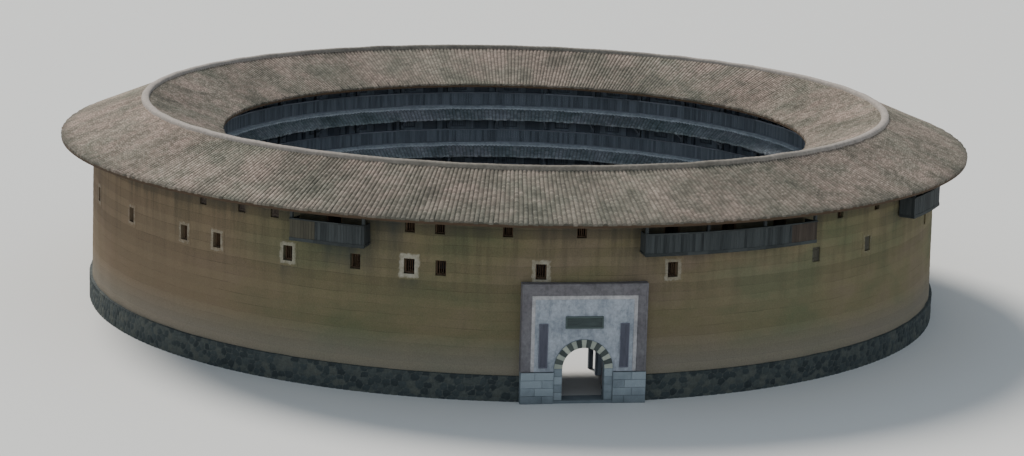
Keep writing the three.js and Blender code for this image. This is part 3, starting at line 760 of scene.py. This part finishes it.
# Limewash round a window: a thin shell on the wall's face, its grid's middle cells left out.
def windowBorders(look):
    shapes = []
    middle, width, height = windowRows["third"]
    holes = np.zeros((8, 8), bool)
    holes[2:6, 2:6] = True
    for angle, white in limed.items():
        w, h, b = width / 2, height / 2, look["limeWidth"] * (0.85 + 0.3 * white)
        across, up = (np.concatenate([[-m - b, -m - b * 0.55], np.linspace(-m, m, 5), [m + b * 0.55, m + b]])
                      for m in (w, h))
        a, u = np.meshgrid(across, up, indexing="ij")
        out = np.maximum(np.abs(a) - w, np.abs(u) - h) / b        # 0 at the window's edge, 1 at the rim
        ragged = (out > 0.01) * b * 0.16
        a = a + ragged * dice.uniform(-1, 1, a.shape)
        z = middle + u + ragged * dice.uniform(-1, 1, u.shape)
        t = angle + np.degrees(a / house["wallHead"])
        face = wallFace(t, z) + look["proud"]
        shapes.append(shell(around(t, face, z), around(t, face - 0.06, z), holes))
        # it is worn right off towards its rim
        shapes[-1]["tone"] = np.tile((white - 1.1 * np.clip((out - 0.5) / 0.5, 0, 1)).ravel(), 2)
    build("window_limewash", joined(*shapes), windowLime)


# Three-plank shutters that close a few windows, on two battens each: in the fourth storey behind the
# bars, in the third outside them. "battenAt" is how far from the middle a batten lies, for the height.
shutterLook = {"play": 0.02, "thick": 0.03, "gap": 0.008, "batten": (0.02, 0.07), "battenAt": 0.28}


def shutters(name, row, angles, radius, material, look):
    middle, width, height = windowRows[row]
    plank = (width - look["play"]) / 3
    planks = blocks(np.repeat(angles, 3), radius, middle, look["thick"], plank - look["gap"],
                    height - look["play"], np.tile([-plank, 0, plank], len(angles)))
    thick, tall = look["batten"]
    battens = [blocks(angles, radius + 0.024, middle + up * height * look["battenAt"], thick, width - 0.06,
                      tall) for up in (-1, 1)]
    build(name, joined(planks, *battens), material)


windowTimber(windowLook)
windowBorders(windowLook)
shutters("inner_shutters", "fourth", (-50, -43.5, -38.5), 24.9, newBoards, shutterLook)
shutters("outer_shutters", "third", (31.8, 42), 24.97, bleachedBoards, shutterLook)


# Lookouts: boarded balconies on cantilevered joists

# "grey" is the stretch of each parapet that has old grey boards, where not all has, and "rest" says
# what the rest is boarded with.
lookoutLook = {"wall": 25.06, "radius": 26.0, "foot": 7.78, "floor": 0.16, "rail": 8.95, "board": 0.16,
               "boardThick": 0.028, "post": 0.15, "joist": 0.11,
               "grey": {"lookout_front_left": (-31.7, -25.6), "lookout_front_right": (6.5, 25.6)},
               "rest": {"lookout_front_left": bleachedBoards, "lookout_front_right": newBoards}}


# Boards stand side by side along the parapet's arc; posts, joists and rails divide its angle evenly.
def lookout(name, start, end, doors, look):
    wall, radius, foot, rail, post = (look[key] for key in ("wall", "radius", "foot", "rail", "post"))
    floorTop = foot + look["floor"]
    eave = roofTop(radius) - house["roofThickness"]
    railMiddle, deep, middle = (floorTop + rail) / 2, radius - wall, (wall + radius) / 2
    postAngles = np.linspace(start + 0.18, end - 0.18, len(doors) + 1)
    joistAngles = np.linspace(start + 0.3, end - 0.3, 2 * len(doors) + 1)
    count = int(math.radians(end - start) * radius / look["board"])
    boardAngles = start + (np.arange(count) + 0.5) * (end - start) / count
    greyFrom, greyTo = look["grey"].get(name, (start, end))
    grey = (boardAngles > greyFrom) & (boardAngles < greyTo)
    boardRadius = radius - 0.025 + dice.uniform(-0.006, 0.006, count)
    boardTall = rail - floorTop + 0.05 + dice.uniform(-0.02, 0.0, count)

    def parapet(chosen):
        return blocks(boardAngles[chosen], boardRadius[chosen], railMiddle, look["boardThick"],
                      look["board"] * 0.965, boardTall[chosen])

    boards = joined(parapet(grey),
                    blocks([start + 0.1, end - 0.1], middle, railMiddle, deep - 0.05, 0.05, rail - floorTop),
                    blocks(postAngles, radius - 0.11, (foot + eave) / 2, post, post, eave - foot - 0.04))
    lines = np.linspace(start, end, max(int((end - start) / 2.5) + 1, 3))
    along, wide = (lines[1:] + lines[:-1]) / 2, np.radians(lines[1] - lines[0]) * radius
    rails = joined(blocks(along, middle - 0.03, floorTop - 0.03, deep - 0.06, wide * 0.995, 0.05),
                   blocks(joistAngles, middle, foot + look["joist"] / 2, deep - 0.02, 0.12, look["joist"]),
                   blocks(along, radius - 0.03, rail + 0.01, 0.13, wide, 0.07),
                   blocks(along, radius - 0.005, foot + 0.1, 0.03, wide, 0.17),
                   blocks(along, radius - 0.1, eave - 0.1, 0.12, wide, 0.12))
    if name in look["rest"]:
        build(name.replace("lookout", "lookout_brown_boards"), parapet(~grey), look["rest"][name])
    build(name.replace("lookout", "lookout_boards"), boards, weathered, (name,))
    build(name.replace("lookout", "lookout_rails"), rails, weatheredLevel)


for lookoutName, place in lookouts.items():
    lookout(lookoutName, *place, lookoutLook)


doorFrame = {"radius": 24.9, "deep": 0.14, "wide": 0.09, "in": 0.05}


def lookoutDoorFrames(look):        # of the doorways behind them
    (width, height), deep, wide, back = lookoutDoor, look["deep"], look["wide"], look["in"]
    boxes = [(topFloor + height / 2, deep, wide, height - 0.01, side * (width / 2 - back))
             for side in (-1, 1)]
    boxes.append((topFloor + height - back, deep, width - 0.2, wide))
    frames = joined(*[blocks(doorways, look["radius"], *box) for box in boxes])
    build("lookout_door_frames", frames, upright)


lookoutDoorFrames(doorFrame)
print("lookouts built")


# Courtyard side

galleryLook = {"board": 0.17, "boardThick": 0.025, "railTop": 1.0, "beam": (0.2, 0.24)}
bayAngles = np.arange(house["bays"]) * 2 * halfBay
postAngles = bayAngles + halfBay
bayCosine, baySine = math.cos(math.radians(halfBay)), math.sin(math.radians(halfBay))


def bayBoards(bays, bayWidth, board):        # angle and shift of upright boards side by side, and their pitch
    count = int(bayWidth / board)
    shift = np.tile((np.arange(count) + 0.5) / count - 0.5, len(bays)) * bayWidth
    return np.repeat(bays, count), shift, bayWidth / count


# Each bay is straight: boards side by side on the chord between two posts, with rails over them.
def galleryFront(storey, top, look):
    back = (house["postRadius"] - house["postSize"] / 2) * bayCosine
    bayWidth = 2 * (house["postRadius"] - 0.16) * baySine
    theta, shift, pitch = bayBoards(bayAngles, bayWidth, look["board"])
    boards = blocks(theta, back - 0.045 + dice.uniform(-0.005, 0.005, len(theta)), top + 0.45,
                    look["boardThick"], pitch * 0.96, 0.95 + dice.uniform(-0.02, 0.0, len(theta)), shift)
    rails = [blocks(bayAngles, *box) for box in (
        (back - 0.04, top + look["railTop"] - 0.04, 0.1, bayWidth, 0.08),
        (back - 0.04, top - 0.17, 0.08, bayWidth, 0.25),
        (back - 0.065, top + 0.12, 0.03, bayWidth, 0.08),
        (back + 0.13, top - 0.13, look["beam"][0], bayWidth - 0.25, look["beam"][1]))]
    # a rafter and a brace under the lean-to roof at each post
    rails += [blocks(postAngles, 18.15, top - 0.4, 1.0, 0.09, 0.09, tilt=-35.6),
              blocks(postAngles, 18.2, top - 0.95, 0.88, 0.08, 0.08, tilt=32)]
    build(f"gallery_boards_{storey}", boards, gallery, (f"balustrade_{storey}",))
    build(f"gallery_rails_{storey}", joined(*rails), galleryLevel)


pent = {"rows": 468, "pointsPerRow": 5, "steps": 5, "head": 18.5, "eave": 17.56, "pitch": 0.66 / 0.92,
        "arch": 0.06, "thickness": 0.11, "straight": True, "paintedLightLeft": 0.0, "paintedLightRight": 0.0}
for storey, floorTop in enumerate(house["floorTops"], 2):
    galleryFront(storey, floorTop, galleryLook)
    tileSlope(f"pent_tiles_{storey}", {**pent, "top": floorTop + 0.04}, pentTile, (f"pent_roof_{storey}",))


# Lime seals the head of each lean-to roof against the boards: four corners, straight along each bay.
fillet = {"radii": (18.56, 18.3, 18.28, 18.56), "heights": (0.12, -0.02, -0.14, -0.14)}


def headFillet(storey, top, look):
    theta = np.arange(360)
    radius = np.array([look["radii"]]) * straightBays(theta)[:, None]
    height = top + np.array([look["heights"]])
    build(f"head_fillet_{storey}", sweep(theta, radius, height), filletLime, smooth=30)


for storey, floorTop in enumerate(house["floorTops"], 2):
    headFillet(storey, floorTop, fillet)


# The front of the rooms: upright boards between posts, with a plank door and a barred window in each bay.
frontLook = {"radius": 20.1, "board": 0.23, "door": (0.85, 1.8), "doorShift": -0.75, "window": (0.8, 0.75),
             "windowShift": 0.75, "windowSill": 0.95, "bars": 6, "heads": (2.98, 5.46, 7.94, 10.64)}
frontFace = frontLook["radius"] * bayCosine


def roomFront(storey, foot, head, look):
    bays = bayAngles[1:] if storey == 1 else bayAngles        # the gate's bay is the open entrance hall
    bayWidth = 2 * look["radius"] * baySine
    theta, shift, pitch = bayBoards(bays, bayWidth, look["board"])
    tall, middle = head - foot, (foot + head) / 2
    boards = blocks(theta, frontFace + 0.07 + dice.uniform(-0.004, 0.004, len(theta)), middle, 0.06,
                    pitch * 0.97, tall - 0.01, shift, toneRange=(0.2, 1.0))
    (dw, dh), (ww, wh) = look["door"], look["window"]
    doorAt, windowAt = look["doorShift"], look["windowShift"]
    pane = foot + look["windowSill"] + wh / 2
    r, doorMiddle = frontFace + 0.03, foot + 0.12 + dh / 2
    posts = np.unique(np.concatenate([bays - halfBay, bays + halfBay]))
    parts = [blocks(posts, frontFace + 0.02, middle, 0.2, 0.2, tall - 0.01),
             blocks(bays, r, foot + 0.06, 0.09, bayWidth - 0.2, 0.12),
             blocks(bays, r, head - 0.08, 0.09, bayWidth - 0.2, 0.14)]
    for side in (-1, 1):        # door posts, window posts, sill and head, and the door's two leaves
        parts += [blocks(bays, r, doorMiddle, 0.08, 0.08, dh, doorAt + side * (dw / 2 + 0.04)),
                  blocks(bays, r, pane, 0.08, 0.07, wh + 0.14, windowAt + side * (ww / 2 + 0.035)),
                  blocks(bays, r, pane + side * (wh / 2 + 0.035), 0.08, ww, 0.07, windowAt),
                  blocks(bays, r + 0.015, doorMiddle + 0.01, 0.05, dw / 2 - 0.01, dh - 0.02,
                         doorAt + side * dw / 4, toneRange=(0.6, 1.3))]
    parts.append(blocks(bays, r, foot + 0.16 + dh, 0.08, dw + 0.16, 0.08, doorAt))
    for bar in range(look["bars"]):
        offset = (bar + 0.5) / look["bars"] - 0.5
        parts.append(blocks(bays, r + 0.01, pane, 0.03, 0.03, wh, windowAt + offset * ww))
    build(f"room_boards_{storey}", boards, roomBoards, (f"room_front_{storey}",))
    build(f"room_doors_and_windows_{storey}", joined(*parts), roomFrames)


for storey, (foot, head) in enumerate(zip((0.0, *house["floorTops"]), frontLook["heads"]), 1):
    roomFront(storey, foot, head, frontLook)
# Over the entrance hall the ground floor's front is a beam with boards above it. The beam and a board
# are each out from the front, height of the middle, depth, width and height.
hall = {"beam": (0.06, 2.6, 0.2, 3.4, 0.2), "board": (0.07, 2.84, 0.06, 0.226, 0.28), "boards": 15,
        "pitch": 0.232}


def hallHead(look):
    (beamOut, *beam), (boardOut, *board) = look["beam"], look["board"]
    shift = (np.arange(look["boards"]) - look["boards"] // 2) * look["pitch"]
    build("hall_head", joined(blocks(0, frontFace + beamOut, *beam),
                              blocks(0, frontFace + boardOut, *board, shift)), upright)


hallHead(hall)
print("galleries built")


# Gate

gateLook = {"arch": 1.1, "band": 0.44, "spring": 1.84, "front": 25.44, "voussoirs": 17, "proud": 0.03,
            "joint": 0.35, "courses": 4, "dadoHalf": 3.28, "dadoTop": 1.66, "dadoCourses": 4,
            "plasterHalf": 2.78, "plasterTop": 5.7, "plasterFront": 25.37, "borderTop": 6.32,
            # back and front of each, then the bare boards
            "jambDepth": (25.34, 25.47), "dadoDepth": (25.38, 25.56), "ribDepth": (25.4, 25.46),
            "board": (2.12, 0.42, 1.9, 4.2), "tablet": (0.95, 4.0, 4.56)}


# Arch stones: eight corners each between two angles and two radii, front and back. Light and dark alternate.
def archStones(which, material, look):
    edges = np.linspace(180, 0, look["voussoirs"] + 1)
    first, last = ((edges[:-1] - look["joint"])[which::2, None], (edges[1:] + look["joint"])[which::2, None])
    b0, b1, b2 = (boxSides[None, :, k] + 0.5 for k in range(3))
    a = np.radians(first * (1 - b1) + last * b1)
    r = look["arch"] + 0.004 + b2 * (look["band"] - 0.008)
    y = -(look["front"] - 0.1) - b0 * (0.1 + look["proud"])
    arch = solids(np.stack([r * np.cos(a), y + 0 * a, look["spring"] + r * np.sin(a)], -1))
    build(f"gate_arch_stones_{which}", arch, material, bevel=0.012)


archStones(0, paleGranite, gateLook)
archStones(1, darkGranite, gateLook)


# Squared blocks between left and right, in courses that break joint: the jambs under the arch, and the dados.
def squaredBlocks(name, cutsByCourse, foot, top, back, front, material):
    low, high, gap = [], [], 0.006
    edges = np.linspace(foot, top, len(cutsByCourse) + 1)
    for cuts, z0, z1 in zip(cutsByCourse, edges, edges[1:]):
        for side in (-1, 1):
            for x0, x1 in zip(cuts, cuts[1:]):
                left, right = sorted((side * (x0 + gap), side * (x1 - gap)))
                low.append((left, -front + dice.uniform(-0.008, 0.008), z0 + gap))
                high.append((right, -back, z1 - gap))
    build(name, cuboids(low, high), material, bevel=0.015)


outerJamb = gateLook["arch"] + gateLook["band"]
jambCourse = (gateLook["arch"] + 0.002, outerJamb - 0.002)
dadoCourses = [(outerJamb + 0.01, outerJamb + (0.62, 1.0)[i % 2], gateLook["dadoHalf"] - 0.005)
               for i in range(gateLook["dadoCourses"])]
squaredBlocks("gate_jamb_blocks", [jambCourse] * gateLook["courses"], 0.16, gateLook["spring"],
              *gateLook["jambDepth"], granite)
squaredBlocks("gate_dado_blocks", dadoCourses, 0.0, gateLook["dadoTop"] + 0.006, *gateLook["dadoDepth"],
              granite)


# Flat mouldings round rectangles: the edges of the bare tablet and bare upright boards, and the fillets
# round the gate, which are open at their foot. Each rectangle is its middle, half width, foot and top,
# with the moulding's width, back and front.
def mouldings(name, rectangles, material, footed=True):
    low, high = [], []
    for middle, half, z0, z1, width, back, front in rectangles:
        x0, x1, z2 = middle - half, middle + half, z1 - width
        foot = z0 + (width if footed else 0)
        boxes = [(x0, x1, z2, z1), (x0, x0 + width, foot, z2), (x1 - width, x1, foot, z2)]
        for left, right, bottom, top in boxes + ([(x0, x1, z0, foot)] if footed else []):
            low.append((left, -front, bottom))
            high.append((right, -back, top))
    build(name, cuboids(low, high, (0.5, 1.0)), material, bevel=0.01)


face, dadoTop = gateLook["plasterFront"], gateLook["dadoTop"] + 0.01
tabletHalf, tabletFoot, tabletTop = gateLook["tablet"]
boardAt, boardWide, boardFoot, boardTop = gateLook["board"]
mouldings("tablet_edge", [(0, tabletHalf + 0.04, tabletFoot - 0.04, tabletTop + 0.04, 0.08, face,
                           face + 0.1)], tabletBoard)
mouldings("upright_board_edges", [(side * boardAt, boardWide / 2 + 0.02, boardFoot - 0.02, boardTop + 0.02,
                                   0.05, face, face + 0.085) for side in (-1, 1)], slate)
mouldings("surround_fillet", [(0, gateLook["plasterHalf"] - 0.01, dadoTop, gateLook["plasterTop"] - 0.01, 0.2,
                               face - 0.02, face + 0.03)], whiteLime, False)
mouldings("border_ribs", [(0, gateLook["dadoHalf"] - 0.03, dadoTop, gateLook["borderTop"] - 0.03, 0.07,
                           *gateLook["ribDepth"])], borderPlaster, False)


# A leaf: five upright planks on three ledges, a round pivot stile, and an iron ring on the face that shows.
leafLook = {"pivot": (1.4, 24.76), "foot": 0.18, "top": 2.93, "length": 1.388, "thick": 0.07, "planks": 5,
            "ledges": (0.45, 1.5, 2.55), "stile": (0.058, 0.11, 3.0), "ring": (0.075, 0.011, 1.3),
            "stud": 0.018}


def gateLeaf(side, look):
    x, y = side * look["pivot"][0], -look["pivot"][1]
    face, half = -side, look["thick"] / 2        # the show face looks into the passage while the leaf is open
    edges = y + np.linspace(0, look["length"], look["planks"] + 1)
    pairs = list(zip(edges, edges[1:]))

    def boxes(rows):        # each from and to: out from the leaf's middle plane, along it and up
        out0, out1, along0, along1, z0, z1 = np.array(rows).T
        outs = np.sort([x + face * out0, x + face * out1], 0)
        return cuboids(np.stack([outs[0], along0, z0], -1), np.stack([outs[1], along1, z1], -1))

    planks = boxes([(-half, half, a + 0.004, b - 0.004, look["foot"], look["top"]) for a, b in pairs]
                   + [(-half, -half - 0.028, y + 0.05, edges[-1] - 0.03, z, z + 0.14)
                      for z in look["ledges"]])
    thick, foot, top = look["stile"]
    turn = np.linspace(0, 2 * np.pi, 25)[:-1]
    pole = skin(np.stack([np.stack([x + thick * np.cos(turn), y + thick * np.sin(turn), np.full(24, z)], -1)
                          for z in (foot, top)]), False, True)
    name = "left" if side < 0 else "right"
    body = name + "_gate_leaf"
    build(f"gate_planks_{name}", joined(planks, pole), gatePaint, (f"gate_leaf_{name}",), body,
          bevel=0.008)
    # ring: a torus turned round the leaf's own direction, hanging from a square plate
    big, small, ringZ = look["ring"]
    ringY = y + look["length"] - 0.22
    u, v = np.meshgrid(np.linspace(0, 2 * np.pi, 33)[:-1], np.linspace(0, 2 * np.pi, 9)[:-1], indexing="ij")
    torus = skin(np.stack([x + face * (half + 0.022 + small * np.sin(v)) + 0 * u,
                           ringY + (big + small * np.cos(v)) * np.cos(u),
                           ringZ + (big + small * np.cos(v)) * np.sin(u)], -1), turned=face < 0)
    # the plate, and a stud for each plank on each ledge: height, place along the leaf, half size
    squares = [(ringZ + big, ringY, 0.06)]
    squares += [(z + 0.07, (a + b) / 2, look["stud"]) for z in look["ledges"] for a, b in pairs]
    iron = boxes([(half, half + 0.012, w - s, w + s, z - s, z + s) for z, w, s in squares])
    build(f"gate_iron_{name}", joined(torus, iron), forged, (), body, smooth=40)


gateLeaf(-1, leafLook)
gateLeaf(1, leafLook)
print("gate built")


# CAD nodes that show as they are

nodeMaterials = {
    level: ("upper_floor_2", "upper_floor_3", "upper_floor_4", "gate_lintel"),
    gallery: ("gallery_posts_front_left", "gallery_posts_front_right", "gallery_posts_back_left",
              "gallery_posts_back_right"),
    granite: ("gate_frame", "gate_threshold", "gate_dado_left", "gate_dado_right"),
    limePlaster: ("gate_surround",), borderPlaster: ("gate_border",), tabletBoard: ("name_tablet",),
    slate: ("couplet_board_left", "couplet_board_right"),
}
for material, nodeNames in nodeMaterials.items():
    for nodeName in nodeNames:
        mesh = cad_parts[nodeName].data
        mesh.materials.clear()
        mesh.materials.append(material)


# Floor, light and camera

studio = {"floor": "#d8d7d3", "sky": (0.76, 0.87, 1.0, 1.0), "skyStrength": 0.56,
          # each light's strength, size in degrees, colour and where it comes from
          "key": (4.2, 20.0, (1.0, 0.96, 0.9), (-0.28, 0.65, 0.71)),
          "fill": (0.28, 40.0, (0.86, 0.93, 1.0), (-0.2, -0.93, 0.3))}


def studioFloor():
    mesh = bpy.data.meshes.new("floor")
    mesh.from_pydata([(-900, -900, 0), (900, -900, 0), (900, 900, 0), (-900, 900, 0)], [], [(0, 1, 2, 3)])
    material = bpy.data.materials.new("pale_floor")
    material.use_nodes = True
    shader = material.node_tree.nodes["Principled BSDF"]
    shader.inputs["Base Color"].default_value = linear(studio["floor"])
    shader.inputs["Roughness"].default_value = 0.9
    mesh.materials.append(material)
    floor = bpy.data.objects.new("floor", mesh)
    bpy.context.scene.collection.objects.link(floor)


studioFloor()
world = bpy.data.worlds.new("studio")
world.use_nodes = True
world.node_tree.nodes["Background"].inputs["Color"].default_value = studio["sky"]
world.node_tree.nodes["Background"].inputs["Strength"].default_value = studio["skyStrength"]
bpy.context.scene.world = world


def softLight(name, strength, size, colour, comesFrom):
    light = bpy.data.lights.new(name, "SUN")
    light.energy = strength
    light.angle = math.radians(size)
    light.color = colour
    lamp = bpy.data.objects.new(name, light)
    lamp.rotation_mode = "QUATERNION"
    lamp.rotation_quaternion = Vector(comesFrom).to_track_quat("Z", "Y")
    bpy.context.scene.collection.objects.link(lamp)


softLight("soft_key", *studio["key"])
softLight("soft_fill", *studio["fill"])

# The photograph's view: from a little left of the gate, looking down 13.3 degrees from 81 m (model).
view = {"azimuth": -8.75, "elevation": 13.3, "distance": 81.0, "aim": (0.0, 0.0, 1.9), "roll": 1.56,
        "lens": 93.5}
azimuth, elevation = math.radians(view["azimuth"]), math.radians(view["elevation"])
camera = bpy.data.cameras.new("camera")
camera.lens = view["lens"]
camera.clip_end = 2000
cameraObject = bpy.data.objects.new("camera", camera)
cameraObject.location = view["distance"] * Vector((
    math.cos(elevation) * math.sin(azimuth), -math.cos(elevation) * math.cos(azimuth), math.sin(elevation)))
facing = (Vector(view["aim"]) - cameraObject.location).to_track_quat("-Z", "Y")
cameraObject.rotation_mode = "QUATERNION"
cameraObject.rotation_quaternion = facing @ Quaternion((0, 0, 1), math.radians(view["roll"]))
bpy.context.scene.collection.objects.link(cameraObject)
bpy.context.scene.camera = cameraObject
print("stage set")

bpy.context.view_layer.update()
